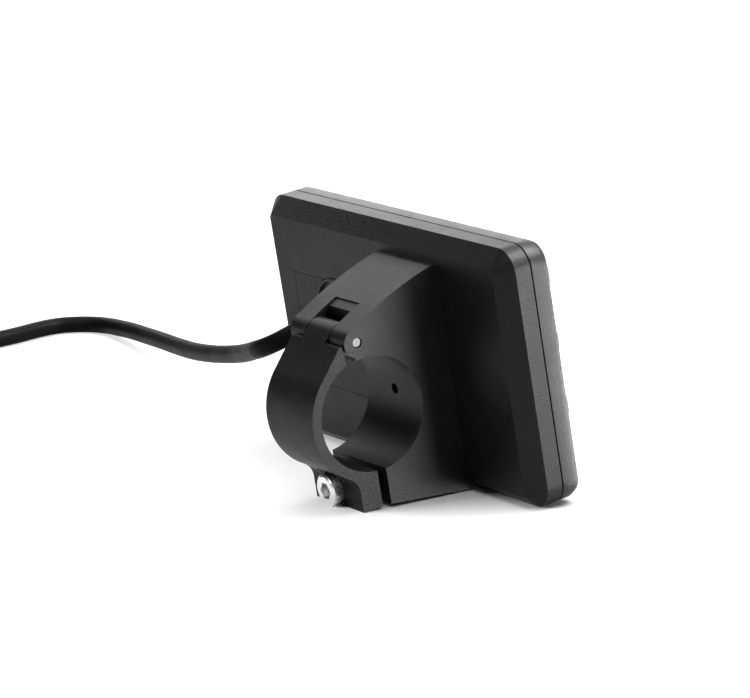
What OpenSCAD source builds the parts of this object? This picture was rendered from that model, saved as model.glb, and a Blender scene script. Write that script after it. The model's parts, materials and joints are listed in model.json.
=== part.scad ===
// Bicycle handlebar display: a sealed screen case on a hinged bar clamp,
// lying on a table with its lead beside it.
// Lengths in millimetres. Most pieces are drawn in the clamp's own axes:
// X along the handlebar, Y from the bar to the screen, Z up the case,
// zero at the middle of the bar bore. The whole thing is then tipped
// until the clamp lug and the lower edge of the case touch the table.

/* [Bar clamp] */
// Diameter of the handlebar that the clamp holds
bar_d = 31.8; // [25.4:0.2:35]
// Width of the fixed arm along the bar
arm_w = 27; // [22:0.5:34]
// Width of the hinged strap along the bar
strap_w = 23.8; // [20:0.2:25]
// How far the strap's middle lies to the right of the screw
strap_shift = 0.9; // [0:0.1:1]
// Thickness of the hinged strap
strap_t = 2.8; // [2:0.1:4]
// Gap between arm and strap where the screw pulls them together
split_gap = 2.4; // [1:0.1:3]
// Thickness of the strap's screw lug
lug_t = 6.15; // [4.5:0.05:8]
// How far the strap's lug reaches below the bar wall
lug_drop = 10.2; // [9:0.1:14]
// Radius of the fillet between strap and lug
lug_fillet = 5; // [2:0.25:7]
// Screw axis below the bar wall
screw_drop = 5.4; // [5:0.1:7]
// Bulge of the arm's top edge above a straight line
arm_bulge = 1.2; // [0:0.1:3]
// Height of the arm's top edge at the case above the bar axis
arm_top = 35.1; // [32:0.1:38]
// Side fillet where the arm meets the case
arm_fillet = 1.5; // [1:0.25:4]
// Diameter of the locating hole in the bore wall
peg_d = 3; // [2:0.1:4]
// Depth of the locating hole
peg_deep = 6; // [3:0.5:9]

/* [Hinge] */
// Diameter of the hinge pin
pin_d = 2.8; // [2:0.1:3.4]
// Distance of the pin axis outside the bar wall
pin_out = 4.65; // [4.4:0.05:6]
// Distance of the pin axis in front of the bar axis
pin_back = 1.4; // [0:0.1:2.5]
// Radius of the hinge knuckles
knuckle_r = 4.1; // [3:0.1:4.2]
// Width of the strap's tongue between the arm's ears
tongue_w = 11.2; // [8:0.2:14]
// Length of the shallow step above the hinge notch
step_run = 2.6; // [1:0.1:4]
// Depth of that step
step_deep = 0.4; // [0.2:0.05:0.8]

/* [Clamp screw] */
// Radius of the screw's plain shank
shank_r = 2.1; // [1.5:0.05:2.2]
// Length of the screw under its head
shank_l = 12; // [10:0.5:14]
// Diameter of the screw head
head_d = 9; // [7:0.1:9.2]
// Height of the screw head
head_h = 3.5; // [3:0.1:5]
// Width across the flats of the hexagon socket
socket_af = 4; // [3:0.1:5]
// Depth of the hexagon socket
socket_deep = 2.2; // [1:0.1:2.8]
// Thickness of the washer
washer_t = 1; // [0.6:0.1:1.6]
// Diameter of the washer
washer_d = 9.6; // [9.2:0.1:10.4]
// Radius of the threaded insert's hole
insert_bore_r = 2.6; // [2.5:0.05:2.8]
// Outer diameter of the threaded insert
insert_d = 6.6; // [6:0.1:7]
// Length of the threaded insert
insert_l = 8; // [5:0.5:9]

/* [Case] */
// Width of the case along the bar
case_w = 121.5; // [115:0.5:150]
// Height of the case
case_h = 72.5; // [70:0.5:90]
// How far the case centre lies to the left of the clamp
case_shift = 15; // [10:0.5:18]
// Height of the case centre above the bar axis
case_rise = 5.5; // [4:0.1:7]
// Distance of the back face from the bar axis
case_back = 26.1; // [25:0.1:34]
// Depth of the bevel round the back
back_bevel_deep = 4.35; // [3:0.05:6]
// Inset of the bevel round the back
back_bevel_in = 4.9; // [3:0.1:6]
// Inset of the back bevel along the lower edge
back_foot_in = 3.8; // [3:0.1:6]
// Radius of the back face's corners
back_corner_r = 1; // [0.6:0.1:3]
// Depth of the straight band of the back shell
back_band = 5.15; // [4:0.05:9]
// Depth of the straight band of the front shell
front_band = 3.65; // [2:0.05:6]
// Depth of the bevel round the front
front_bevel_deep = 2.8; // [2.6:0.05:5]
// Inset of the bevel round the front
front_bevel_in = 2.5; // [1.5:0.05:4]
// Radius of the case corners
corner_r = 6.5; // [4:0.25:9]
// Wall thickness of both shells
wall = 2.4; // [2:0.1:2.6]
// Height of the seam groove
seam_gap = 0.35; // [0.2:0.05:0.6]
// Depth of the seam groove
seam_deep = 0.7; // [0.4:0.05:0.9]
// Width of the seal's section
seal_w = 0.8; // [0.5:0.05:0.9]
// Height of the seal's section
seal_h = 1; // [0.5:0.05:1.5]

/* [Screen] */
// Margin between the case's left edge and the window lens
lens_left = 8.75; // [8:0.25:14]
// Margin between the window lens and the case's right edge
lens_right = 18.75; // [17:0.25:24]
// Margin above and below the window lens
lens_edge = 6.25; // [5.5:0.25:10]
// Thickness of the lens
lens_t = 1.4; // [1:0.05:1.6]
// Width of the ledge that carries the lens
lens_ledge = 3; // [2:0.1:5]
// Corner radius of the lens
lens_r = 4; // [2:0.25:6]
// Thickness of the display glass
glass_t = 2.2; // [1.5:0.05:2.6]
// Thickness of the light guide behind the glass
guide_t = 1.6; // [1:0.05:1.7]
// Thickness of the tray's wall round the glass
tray_wall = 1.2; // [0.8:0.1:2]

/* [Board] */
// Thickness of the circuit board
board_t = 1.6; // [1:0.1:2]
// Gap between the board's edge and the case walls
board_gap = 2.8; // [2:0.1:4]
// Height of the board's standoffs
standoff_h = 3.5; // [2.8:0.1:3.8]
// Diameter of the standoffs
standoff_d = 6; // [5:0.1:6.5]
// Inset of the standoffs from the board's edge
standoff_in = 10.5; // [10:0.1:11]
// Diameter of the board screws
board_screw_d = 2; // [1.6:0.1:2.6]
// Side of the square push switches
switch_w = 6; // [4:0.1:6.5]
// Height of the push switches
switch_h = 2.5; // [1.5:0.1:2.6]

/* [Buttons] */
// Width of a button
button_w = 6; // [4:0.1:6.4]
// Height of a button up the case
button_h = 7; // [5:0.1:10]
// Distance of the upper button's centre from the case's top edge
button_top = 10.95; // [10:0.05:16]
// Distance of the lower button's centre from the case's lower edge
button_low = 24.95; // [16:0.05:28]
// Distance of the button centres from the case's right edge
button_edge = 7.3; // [7.2:0.1:8.5]
// How far the buttons stand out of the front
button_proud = 2.15; // [0.8:0.05:3]
// Travel of a button
button_travel = 0.6; // [0.3:0.05:0.7]
// Width of a button's hidden rim
button_rim = 0.7; // [0.5:0.05:0.8]
// Thickness of a button's hidden rim
button_rim_t = 0.9; // [0.6:0.05:1]
// Wall of the rubber key mat
mat_t = 0.8; // [0.6:0.05:0.9]

/* [Back plate] */
// Gap between the plain name plate on the back and the arm
plate_gap = 6.45; // [5:0.05:12]
// Height of the plain name plate
plate_h = 33; // [30:0.5:40]
// Thickness of the plain name plate
plate_t = 0.3; // [0.2:0.05:0.5]
// Left edge of the plate's recess from the case's left edge
plate_edge = 13.3; // [12:0.1:14]
// Top edge of the plate's recess from the case's top edge
plate_top = 20.5; // [19:0.1:22]

/* [Lead] */
// Diameter of the lead
lead_d = 5.4; // [4.6:0.1:5.6]
// How far the lead outlet lies to the right of the name plate's middle
outlet_shift = 0.15; // [0:0.05:2]
// Lead outlet from the case's top edge
outlet_top = 29.6; // [28:0.1:31]
// Diameter of the outlet's round grommet
collar_d = 20; // [18:0.1:20.4]
// Width of the grommet's raised rim
rim_w = 0.9; // [0.6:0.1:1.4]
// How far the rim stands out of the case
rim_out = 0.4; // [0.2:0.1:0.8]
// Depth of the grommet's floor below the back face
dish = 0.8; // [0.4:0.1:0.9]
// Thickness of the grommet's floor
collar_t = 0.7; // [0.5:0.1:0.8]
// Length of the tapered strain relief outside the back face
boot_l = 4.6; // [4:0.1:6]
// Thickness of the strain relief at its tip
boot_tip_t = 0.8; // [0.6:0.1:1.4]
// Diameter of the strain relief at its root
boot_root_d = 10; // [9.4:0.1:12]
// Diameter of the nut that holds the grommet inside
nut_d = 12.6; // [11:0.1:13]
// Number of loops in the coil
coil_loops = 4; // [4]
// Distance between neighbouring loops
coil_pitch = 6; // [6:0.05:6.4]
// Diameter of the widest loop
coil_d = 73; // [70:0.5:76]
// Thickness of the coil's tie
tie_t = 0.6; // [0.4:0.05:0.8]
// Width of the coil's tie
tie_w = 8; // [5:0.5:12]
// Diameter of the plug
plug_d = 12; // [11:0.1:13]
// Length of the plug's moulded body
plug_l = 24; // [18:0.5:30]
// Length of the plug's locking collar
plug_collar_l = 12; // [8:0.5:14]
// Diameter of one plug pin
plug_pin_d = 1; // [0.6:0.1:1.2]

/* [Hidden] */
$fn = 64;

// Smallest clearance between neighbouring pieces
fit = 0.1;
// Clearance between pieces that move past each other
run = 0.35;
// Overrun of every cut past the face that it opens
over = 1;
// Thickness of the thin plates that a bevel is stretched between
skin = 0.01;
// Steps of a rounded corner and of the arm's curved edge
corner_steps = 8;
curve_steps = 10;

bar_r = bar_d / 2;
strap_r = bar_r + strap_t;
pin_axis = [-pin_back, sqrt(pow(bar_r + pin_out, 2) - pow(pin_back, 2))];
split_face = split_gap / 2;
lug_face = split_face + lug_t;
lug_low = bar_r + lug_drop;
screw_z = -(bar_r + screw_drop);
washer_seat = lug_face - washer_t;
head_seat = lug_face;

case_edge_y = case_back + back_bevel_deep;
seam_y = case_edge_y + back_band;
front_edge_y = seam_y + front_band;
front_y = front_edge_y + front_bevel_deep;
case_low = case_h / 2 - case_rise;
back_in_y = case_back + wall;
front_in_y = front_y - wall;
case_left = -case_shift - case_w / 2;
case_right = -case_shift + case_w / 2;
case_top = case_rise + case_h / 2;

// Tip of the whole object: the lug's lower front edge and the case's lower back edge touch the table
rest_tilt = atan2(case_low - lug_low, case_edge_y + lug_face);
floor_z = case_edge_y * sin(rest_tilt) - case_low * cos(rest_tilt);

board_back = back_in_y + standoff_h;
board_front = board_back + board_t;
board_w = case_w - 2 * (wall + board_gap);
board_h = case_h - 2 * (wall + board_gap);
hole_x = board_w / 2 - standoff_in;
hole_z = board_h / 2 - standoff_in;
screw_head_r = 0.9 * board_screw_d;
screw_head_h = board_screw_d / 2;
lens_w = case_w - lens_left - lens_right;
lens_h = case_h - 2 * lens_edge;
glass_w = lens_w - 2 * lens_ledge;
glass_h = lens_h - 2 * lens_ledge;
glass_front = front_in_y - fit;
glass_back = glass_front - glass_t;
lens_x = case_left + lens_left + lens_w / 2;
button_pitch = (case_h - button_top - button_low) / 2;
button_x = case_right - button_edge;
button_z = case_top - button_top - button_pitch;
plate_w = -arm_w / 2 - arm_fillet - plate_gap - case_left - plate_edge;
outlet_x = case_left + plate_edge + plate_w / 2 + outlet_shift;
outlet_z = case_top - outlet_top;
boot_tip_y = case_back - boot_l;
grommet_y = case_back + dish;
grommet_in_y = grommet_y + collar_t;
grommet_hole_r = lead_d / 2 + wall / 2;
lead_r = lead_d / 2;
nut_t = 2;

// Outline of a rounded rectangle about zero
function corner(cx, cz, r, from) =
    [for (i = [0:corner_steps]) let (a = from + 90 * i / corner_steps) [cx + r * cos(a), cz + r * sin(a)]];
function rounded(w, h, r) = concat(
    corner(w / 2 - r, h / 2 - r, r, 0), corner(r - w / 2, h / 2 - r, r, 90),
    corner(r - w / 2, r - h / 2, r, 180), corner(w / 2 - r, r - h / 2, r, 270));

// Tips a piece from the clamp's axes to the way it lies on the table
module tipped() { rotate([rest_tilt, 0, 0]) children(); }

// Extrudes an outline drawn in Y and Z evenly about X = 0
module along_x(width) { rotate([90, 0, 90]) linear_extrude(width, center = true) children(); }

// Extrudes an outline drawn in X and Z from one Y to another
module along_y(from, to) {
    translate([0, from, 0]) mirror([0, 1, 0]) rotate([90, 0, 0]) linear_extrude(to - from) children();
}

// A round bar along Y at a place given in X and Z
module rod_y(x, z, r, from, to) {
    translate([x, from, z]) rotate([-90, 0, 0]) cylinder(h = to - from, r = r);
}

// Slab of the case outline, drawn in by an inset
module case_slab(inset, from, to) {
    along_y(from, to) translate([-case_shift, case_rise])
        polygon(rounded(case_w - 2 * inset, case_h - 2 * inset, max(corner_r - inset, corner_r / 3)));
}

// Bevelled block between two slabs of the case outline
module case_bevel(inset_a, y_a, inset_b, y_b) {
    hull() {
        case_slab(inset_a, y_a, y_a + skin);
        case_slab(inset_b, y_b - skin, y_b);
    }
}

// The arm's top edge, from the hinge at share 0 to the case at share 1
arm_top_from = [pin_axis[0] - knuckle_r * sin(20), pin_axis[1] + knuckle_r * cos(20)];
arm_top_to = [case_back + wall / 2, arm_top];
function arm_edge(share) = arm_top_from + share * (arm_top_to - arm_top_from)
    + [0, 4 * arm_bulge * share * (1 - share)];

// Side view of the arm, before the bore is cut
module arm_side() {
    polygon(concat(
        [for (i = [0:curve_steps]) arm_edge(i / curve_steps)],
        [[case_edge_y, arm_top - back_bevel_deep], [case_edge_y, -case_low + fit],
         [split_face, -lug_low], [split_face, 0], [pin_axis[0] - pin_d / 2, 0],
         [pin_axis[0] - pin_d / 2, pin_axis[1]]]));
    translate(pin_axis) circle(knuckle_r);
}

// Top view of the arm, with a fillet on each side where it meets the case
module arm_plan() {
    reach = case_edge_y + pin_back + knuckle_r + over;
    translate([-arm_w / 2, case_edge_y - reach]) square([arm_w, reach]);
    for (side = [-1, 1])
        difference() {
            translate([side > 0 ? arm_w / 2 - over : -arm_w / 2 - arm_fillet, case_back - arm_fillet])
                square([arm_fillet + over, case_edge_y - case_back + arm_fillet]);
            translate([side * (arm_w / 2 + arm_fillet), case_back - arm_fillet]) circle(arm_fillet);
        }
}

module arm_block() {
    intersection() {
        along_x(arm_w + 2 * arm_fillet) arm_side();
        translate([0, 0, -case_low]) linear_extrude(case_low + case_top) arm_plan();
    }
}

// Room for the strap's tongue, and the shallow step above it
module hinge_notch() {
    notch_w = tongue_w + 2 * run;
    notch_y = pin_axis[0] + knuckle_r + run;
    translate([-notch_w / 2, notch_y - 2 * (knuckle_r + run) - over, 0])
        cube([notch_w, 2 * (knuckle_r + run) + over, arm_top]);
    step_share = (notch_y + step_run - arm_top_from[0]) / (arm_top_to[0] - arm_top_from[0]);
    step_at = arm_edge(step_share);
    step_way = step_at - arm_edge(0);
    slope = atan2(step_way[1], step_way[0]);
    translate([-notch_w / 2, step_at[0], step_at[1]]) rotate([slope, 0, 0])
        translate([0, -2 * step_run, -step_deep]) cube([notch_w, 2 * step_run, step_deep + over]);
}

module bar_bore() {
    rotate([0, 90, 0]) cylinder(h = arm_w + 2 * over + 2 * arm_fillet, r = bar_r, center = true);
}

// Places something at each of the four board holes
module at_holes() {
    for (sx = [-1, 1], sz = [-1, 1])
        translate([sx * hole_x - case_shift, 0, sz * hole_z + case_rise]) children();
}

// Bevelled back of the case; the bevel is narrower along the lower edge
module back_bevel() {
    hull() {
        along_y(case_back, case_back + skin)
            translate([-case_shift, case_rise - (back_bevel_in - back_foot_in) / 2])
                polygon(rounded(case_w - 2 * back_bevel_in, case_h - back_bevel_in - back_foot_in,
                    back_corner_r));
        case_slab(0, case_edge_y - skin, case_edge_y);
    }
}

module rear_housing() {
    color("#1b1b1d") tipped() difference() {
        union() {
            difference() {
                union() {
                    back_bevel();
                    case_slab(0, case_edge_y - skin, seam_y - seam_gap);
                    case_slab(seam_deep, seam_y - seam_gap - skin, seam_y);
                    arm_block();
                }
                case_bevel(wall + back_bevel_in * (1 - wall / back_bevel_deep), back_in_y, wall, case_edge_y);
                case_slab(wall, case_edge_y - skin, seam_y + over);
            }
            at_holes() rod_y(0, 0, standoff_d / 2, back_in_y - wall / 2, board_back);
        }
        bar_bore();
        hinge_notch();
        translate([0, pin_axis[0], pin_axis[1]]) rotate([0, 90, 0])
            cylinder(h = arm_w + 2 * over, r = pin_d / 2 + fit / 5, center = true);
        rod_y(0, 0, peg_d / 2, 0, bar_r + peg_deep);
        rod_y(0, screw_z, insert_d / 2, 0, split_face + insert_l + fit);
        rod_y(0, screw_z, insert_bore_r, 0, split_face + shank_l);
        rod_y(outlet_x, outlet_z, grommet_hole_r, case_back - over, back_in_y + over);
        rod_y(outlet_x, outlet_z, collar_d / 2, case_back - over, grommet_in_y);
        at_holes() rod_y(0, 0, board_screw_d / 2 + fit / 2, back_in_y, board_back + over);
        along_y(case_back - over, case_back + plate_t + fit) translate(plate_place())
            square([plate_w, plate_h]);
        seal_ring(fit, seam_y - seal_h, seam_y + over);
    }
}

function plate_place() = [case_left + plate_edge, case_top - plate_top - plate_h];

// Ring of the seal's outline, wider all round by a clearance
module seal_ring(extra, from, to) {
    inset = (seam_deep + wall - seal_w) / 2;
    difference() {
        case_slab(inset - extra, from, to);
        case_slab(inset + seal_w + extra, from - over, to + over);
    }
}

module housing_seal() { color("#303033") tipped() seal_ring(0, seam_y - seal_h + fit, seam_y - fit / 2); }

module front_housing() {
    color("#1b1b1d") tipped() difference() {
        union() {
            case_slab(0, seam_y, front_edge_y);
            hull() {
                case_bevel(0, front_edge_y - skin, front_bevel_in, front_y);
                case_slab(front_bevel_in / 3, front_edge_y, front_edge_y + front_bevel_deep * 2 / 3);
            }
        }
        case_slab(wall, seam_y - over, front_edge_y);
        case_bevel(wall, front_edge_y - skin, wall + front_bevel_in * (1 - wall / front_bevel_deep),
            front_in_y);
        along_y(front_y - lens_t - fit, front_y + over) translate([lens_x, case_rise])
            polygon(rounded(lens_w + 2 * fit, lens_h + 2 * fit, lens_r + fit));
        along_y(front_in_y - over, front_y + over) translate([lens_x, case_rise])
            polygon(rounded(glass_w, glass_h, lens_r / 2));
        for (i = [-1:1]) along_y(front_in_y - over, front_y + over)
            translate([button_x, button_z + i * button_pitch])
                polygon(rounded(button_w + 4 * fit, button_h + 4 * fit, button_w / 3 + fit));
    }
}

module screen_lens() {
    color("#0c0d10") tipped() along_y(front_y - lens_t, front_y) translate([lens_x, case_rise])
        polygon(rounded(lens_w, lens_h, lens_r));
}

module display_glass() {
    color("#4c5550") tipped() along_y(glass_back, glass_front) translate([lens_x, case_rise])
        polygon(rounded(glass_w + lens_ledge, glass_h + lens_ledge, lens_r / 4));
}

module light_guide() {
    front = glass_back - fit;
    color("#e8ebee") tipped() along_y(front - guide_t, front) translate([lens_x, case_rise])
        square([glass_w + lens_ledge - fit, glass_h + lens_ledge - fit], center = true);
}

module display_tray() {
    outer = [glass_w + lens_ledge + 2 * (fit + tray_wall), glass_h + lens_ledge + 2 * (fit + tray_wall)];
    color("#d8d8d2") tipped() difference() {
        along_y(board_front, glass_front) translate([lens_x, case_rise]) square(outer, center = true);
        along_y(glass_back - 2 * fit - guide_t, glass_front + over) translate([lens_x, case_rise])
            square([outer[0] - 2 * tray_wall, outer[1] - 2 * tray_wall], center = true);
        at_holes()
            rod_y(0, 0, screw_head_r + 2 * fit, board_front - over, board_front + screw_head_h + 2 * fit);
    }
}

module main_board() {
    color("#14532d") tipped() difference() {
        along_y(board_back, board_front) translate([-case_shift, case_rise])
            polygon(rounded(board_w, board_h, corner_r - wall - board_gap / 2));
        at_holes() rod_y(0, 0, board_screw_d / 2 + fit, board_back - over, board_front + over);
    }
}

module board_screws() {
    color("silver") tipped() at_holes() {
        rod_y(0, 0, board_screw_d / 2, back_in_y + fit, board_front + skin);
        rod_y(0, 0, screw_head_r, board_front, board_front + screw_head_h);
    }
}

module push_switches() {
    color("#8a8d90") tipped() for (i = [-1:1]) translate([button_x, 0, button_z + i * button_pitch]) {
        along_y(board_front, board_front + switch_h - fit * 5) square(switch_w, center = true);
        rod_y(0, 0, switch_w / 4, board_front, board_front + switch_h);
    }
}

module key_mat() {
    dome = switch_w + 2 * (fit + mat_t);
    color("#55585c") tipped() difference() {
        union() {
            along_y(board_front, board_front + mat_t) translate([button_x, button_z])
                square([dome, 2 * button_pitch + dome + 2 * mat_t], center = true);
            for (i = [-1:1]) along_y(board_front, board_front + switch_h + fit + mat_t)
                translate([button_x, button_z + i * button_pitch]) square(dome, center = true);
        }
        for (i = [-1:1]) along_y(board_front - over, board_front + switch_h + fit)
            translate([button_x, button_z + i * button_pitch]) square(switch_w + 2 * fit, center = true);
    }
}

// One button: a rounded cap through the front, with a rim that holds it in behind
module button(place) {
    rim_front = front_in_y - fit;
    mat_top = board_front + switch_h + fit + mat_t;
    tipped() translate([button_x, 0, button_z + place * button_pitch]) {
        edge = button_w / 8;
        cap_y = front_y + button_proud;
        along_y(rim_front - skin, cap_y - edge) polygon(rounded(button_w, button_h, button_w / 3));
        hull() {
            along_y(cap_y - edge - skin, cap_y - edge) polygon(rounded(button_w, button_h, button_w / 3));
            along_y(cap_y - skin, cap_y)
                polygon(rounded(button_w - 2 * edge, button_h - 2 * edge, button_w / 3 - edge));
        }
        along_y(rim_front - button_rim_t, rim_front)
            polygon(rounded(button_w + 2 * button_rim, button_h + 2 * button_rim, button_w / 3));
        rod_y(0, 0, button_w / 4, mat_top + button_travel + fit, rim_front - button_rim_t + skin);
    }
}

module button_up() { color("#2a2b2e") button(1); }
module button_power() { color("#2a2b2e") button(0); }
module button_down() { color("#2a2b2e") button(-1); }

module name_plate() {
    color("#202022") tipped() difference() {
        along_y(case_back, case_back + plate_t) translate(plate_place() + [fit, fit])
            square([plate_w - 2 * fit, plate_h - 2 * fit]);
        rod_y(outlet_x, outlet_z, collar_d / 2 + fit, case_back - over, case_back + over);
    }
}

// The lead's outlet: a dished round grommet with a raised rim, a shank through the wall
// and a tapered strain relief in its middle
module outlet_gland() {
    rim_r = collar_d / 2 - fit;
    neck_r = grommet_hole_r - fit;
    color("#161618") tipped() translate([outlet_x, 0, outlet_z]) rotate([-90, 0, 0]) rotate_extrude()
        polygon([[lead_r + fit / 2, boot_tip_y], [lead_r + boot_tip_t, boot_tip_y],
            [boot_root_d / 2, grommet_y], [rim_r - rim_w, grommet_y], [rim_r - rim_w, case_back - rim_out],
            [rim_r, case_back - rim_out], [rim_r, grommet_in_y], [neck_r, grommet_in_y],
            [neck_r, back_in_y + nut_t], [lead_r + fit / 2, back_in_y + nut_t]]);
}

module gland_nut() {
    color("#303033") tipped() difference() {
        rod_y(outlet_x, outlet_z, nut_d / 2, back_in_y, back_in_y + nut_t);
        rod_y(outlet_x, outlet_z, grommet_hole_r, back_in_y - over, back_in_y + nut_t + over);
    }
}

module inner_lead() {
    color("#121212") tipped() rod_y(outlet_x, outlet_z, lead_r, boot_tip_y, board_back);
}

module clamp_insert() {
    color("#b08d3a") tipped() difference() {
        rod_y(0, screw_z, insert_d / 2 - fit / 5, split_face + fit, split_face + insert_l);
        rod_y(0, screw_z, insert_bore_r, 0, split_face + insert_l + over);
    }
}

module hinge_pin() {
    color("#c9ccd0") tipped() translate([0, pin_axis[0], pin_axis[1]]) rotate([0, 90, 0])
        cylinder(h = arm_w - 8 * fit, r = pin_d / 2, center = true);
}

// Side view of the strap's ring, lug and fillet, on the far side of the bar from the case
module strap_side() {
    fillet_y = lug_face + lug_fillet;
    fillet_z = sqrt(pow(strap_r + lug_fillet, 2) - pow(fillet_y, 2));
    meet_share = strap_r / (strap_r + lug_fillet);
    intersection() {
        circle(strap_r);
        translate([-strap_r - over, -strap_r - over])
            square([strap_r + over - split_face, 2 * strap_r + over]);
    }
    difference() {
        polygon([[-split_face, -lug_low], [-lug_face, -lug_low], [-lug_face, -fillet_z],
            [-fillet_y * meet_share, -fillet_z * meet_share], [-split_face, -bar_r]]);
        translate([-fillet_y, -fillet_z]) circle(lug_fillet);
    }
}

// Side view of the thicker root that carries the hinge
module strap_root() {
    out_y = strap_r * cos(45);
    polygon([[-out_y, strap_r * sin(45)],
        [pin_axis[0] - knuckle_r - pin_out / 2, pin_axis[1] + fit - pin_d / 2],
        [pin_axis[0] - knuckle_r - pin_d / 2, pin_axis[1] - fit],
        [pin_axis[0] - knuckle_r * cos(60), pin_axis[1]],
        [pin_axis[0] - knuckle_r * cos(60), bar_r * cos(20)], [-bar_r * sin(45), bar_r * sin(45)]]);
}

module strap_tongue() {
    translate(pin_axis) circle(knuckle_r);
    polygon([[pin_axis[0] - knuckle_r - pin_d / 2, pin_axis[1] - fit],
        [pin_axis[0] - knuckle_r * sin(45), pin_axis[1] + knuckle_r * cos(45)], pin_axis,
        [pin_axis[0], bar_r - fit], [pin_axis[0] - knuckle_r, bar_r * cos(20)]]);
}

module clamp_strap() {
    color("#1b1b1d") tipped() difference() {
        union() {
            difference() {
                translate([strap_shift, 0, 0]) along_x(strap_w) {
                    strap_side();
                    strap_root();
                }
                translate([0, pin_axis[0], pin_axis[1]]) rotate([0, 90, 0])
                    cylinder(h = arm_w + 2 * over, r = knuckle_r + run, center = true);
                translate([-arm_w / 2 - over, pin_axis[0] - knuckle_r, 0])
                    cube([arm_w + 2 * over, 2 * knuckle_r, lug_low]);
            }
            along_x(tongue_w) strap_tongue();
        }
        bar_bore();
        translate([0, pin_axis[0], pin_axis[1]]) rotate([0, 90, 0])
            cylinder(h = arm_w + 2 * over, r = pin_d / 2 + fit / 2, center = true);
        rod_y(0, screw_z, insert_bore_r + fit, -lug_face - over, 0);
        rod_y(0, screw_z, washer_d / 2 + 2 * fit, -strap_r - over, -washer_seat);
    }
}

module clamp_washer() {
    color("#b9bcc0") tipped() difference() {
        rod_y(0, screw_z, washer_d / 2, -lug_face, -washer_seat);
        rod_y(0, screw_z, shank_r + fit, -lug_face - over, 0);
    }
}

module clamp_screw() {
    color("#d4d6d9") tipped() difference() {
        union() {
            rod_y(0, screw_z, head_d / 2, -head_seat - head_h, -head_seat);
            rod_y(0, screw_z, shank_r, -head_seat - skin, shank_l - head_seat);
        }
        translate([0, -head_seat - head_h - over, screw_z]) rotate([-90, 30, 0])
            cylinder(h = socket_deep + over, r = socket_af / sqrt(3), $fn = 6);
    }
}

// The lead's route in the object's resting position. The start and end sit in the outlet and the coil.
gland_tip = [outlet_x, boot_tip_y * cos(rest_tilt) - outlet_z * sin(rest_tilt),
    boot_tip_y * sin(rest_tilt) + outlet_z * cos(rest_tilt)];
gland_way = [0, -cos(rest_tilt), -sin(rest_tilt)];
lead_lie = floor_z + lead_r;
route = [[-41.8, 14, 13.1], [-42.4, 10.2, 11.5], [-44.6, 7.2, 9.6], [-48.6, 5.6, 7.6], [-54, 5.9, 5.7],
    [-61, 8.2, 3.7], [-70, 11.4, 1.1], [-82.5, 15.7, -2.2], [-100.1, 20.7, -6.2], [-120, 26, -10.1],
    [-138.7, 31.4, -13.3], [-157.6, 36.8, -15.9], [-175.8, 41.7, -18], [-192.1, 45.8, -19.9],
    [-206.8, 48.8, -21.3], [-220.7, 51.2, -22.8], [-231.5, 51.9, -23.8], [-237.7, 50, -24.1],
    [-241.8, 45.8, -24.1], [-244.2, 40.5, -24.1], [-243.8, 33, -24.1], [-241.6, 24, -24.1],
    [-240, 14, -24], [-239.8, 5, -23.6], [-240, -4, -23.2]];
echo(tilt = rest_tilt, floor = floor_z, tip = gland_tip, lie = lead_lie);

function unit(v) = v / norm(v);
// Side points of a tube's ring at one point of its path, seen along a direction
function ring(p, way, r, sides) = let (across = unit(cross(way, [0, 0, 1])), up = cross(across, way))
    [for (k = [0:sides - 1]) let (a = 360 * (k + 0.5) / sides) p + r * cos(a) * across + r * sin(a) * up];
// Direction of a path at one of its points, with given directions at both ends
function way_at(path, i, first, last) = i == 0 ? unit(first)
    : i == len(path) - 1 ? unit(last) : unit(path[i + 1] - path[i - 1]);

// Tube of one skin along a path, closed by a flat end at each side
module tube(path, r, sides, first, last) {
    n = len(path);
    points = [for (i = [0:n - 1]) each ring(path[i], way_at(path, i, first, last), r, sides)];
    walls = [for (i = [0:n - 2], k = [0:sides - 1]) let (a = i * sides + k, b = i * sides + (k + 1) % sides)
        each [[a, b, b + sides], [a, b + sides, a + sides]]];
    first_cap = [for (k = [1:sides - 2]) [0, k + 1, k]];
    last_cap = [for (k = [1:sides - 2]) let (z = (n - 1) * sides) [z, z + k, z + k + 1]];
    polyhedron(points, concat(walls, first_cap, last_cap));
}

// The coil: it starts where the lead comes in, spirals in on the table, climbs a layer
// in the half turn at its middle, spirals out again on top and runs down to the plug
coil_rings = 24;
coil_sides = 6;
coil_r = coil_d / 2 - lead_r;
coil_lift = tie_t + 3 * fit;
coil_start = route[len(route) - 1];
coil_centre = [coil_start[0] - coil_r, coil_start[1] - lead_d, floor_z + lead_r + coil_lift];
climb = 0.25;
half = coil_loops / 2;
lead_out = 34;
lead_out_steps = 8;
plug_axis = floor_z + plug_d / 2;
// How many pitches the spiral has drawn in after a number of turns
function drawn_in(t) = abs(t - half) >= climb ? half - abs(t - half)
    : half - climb / 2 - pow(t - half, 2) / (2 * climb);
function eased(share) = (1 - cos(180 * min(1, max(0, share)))) / 2;
function coil_height(t) = coil_pitch * eased((t - half + climb) / (2 * climb));
function coil_point(t) = coil_centre + (coil_r - coil_pitch * drawn_in(t)) * [cos(360 * t), -sin(360 * t), 0]
    + [0, 0, coil_height(t)];
coil_end = coil_point(coil_loops);
function out_point(share) = [coil_end[0], coil_end[1] - share * lead_out,
    coil_end[2] + (plug_axis - coil_end[2]) * eased((share * lead_out - lead_d) / (lead_out - 2 * lead_d))];
coil_path = concat([coil_start], [for (i = [0:coil_loops * coil_rings]) coil_point(i / coil_rings)],
    [for (i = [1:lead_out_steps]) out_point(i / lead_out_steps)]);
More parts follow.
